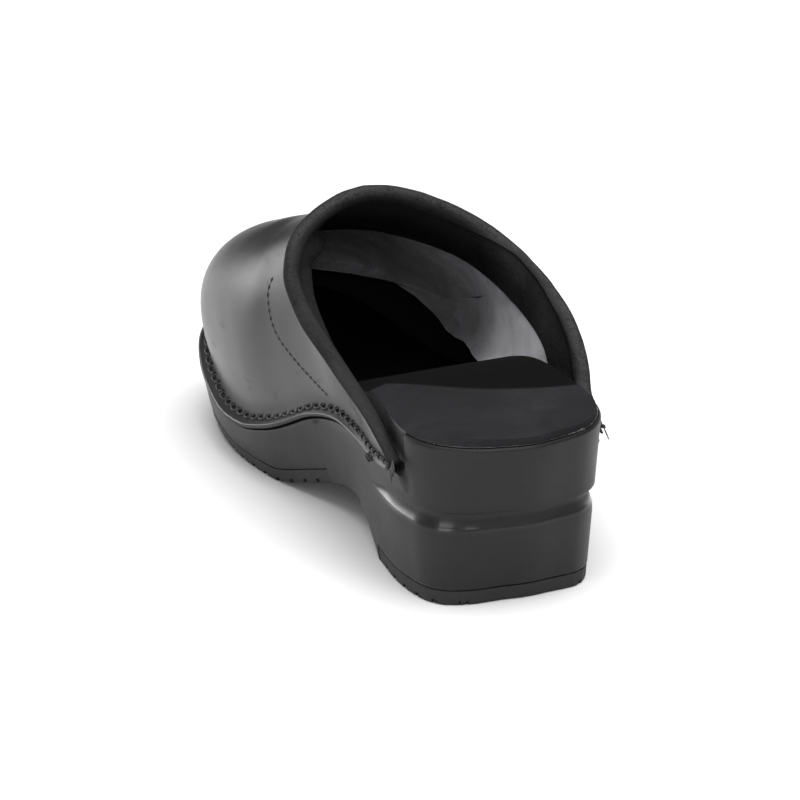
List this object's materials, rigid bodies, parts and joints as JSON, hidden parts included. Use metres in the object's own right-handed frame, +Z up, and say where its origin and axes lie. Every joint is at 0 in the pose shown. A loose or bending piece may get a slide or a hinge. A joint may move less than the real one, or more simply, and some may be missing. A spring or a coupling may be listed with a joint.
{
  "type": "open-back work clog",
  "caption": "Closed-toe, open-back work clog for the right foot: one-piece leather upper on a moulded grooved sole with a padded collar, insole and lugged treads.",
  "frame": {"origin": "middle of the bottom of the shoe's bounding box, on the floor it stands on", "axes": "+Z up, +Y from heel to toe, +X to the outer (lateral) side of this right shoe"},
  "size_m": [0.092, 0.2552, 0.1098],
  "materials": {
    "sole": "moulded polyurethane, dark grey, satin",
    "tread_heel": "moulded rubber, black, matt",
    "tread_forefoot": "moulded rubber, black, matt",
    "insole": "nubuck-like sock, dark grey, matt",
    "upper": "smooth box leather, black, soft gloss",
    "collar": "soft fine-grained lining leather, black"
  },
  "bodies": {
    "root": {"sole": "sole", "tread_heel": "tread_heel", "tread_forefoot": "tread_forefoot", "insole": "insole", "upper": "upper", "collar": "collar"}
  },
  "joints": []
}
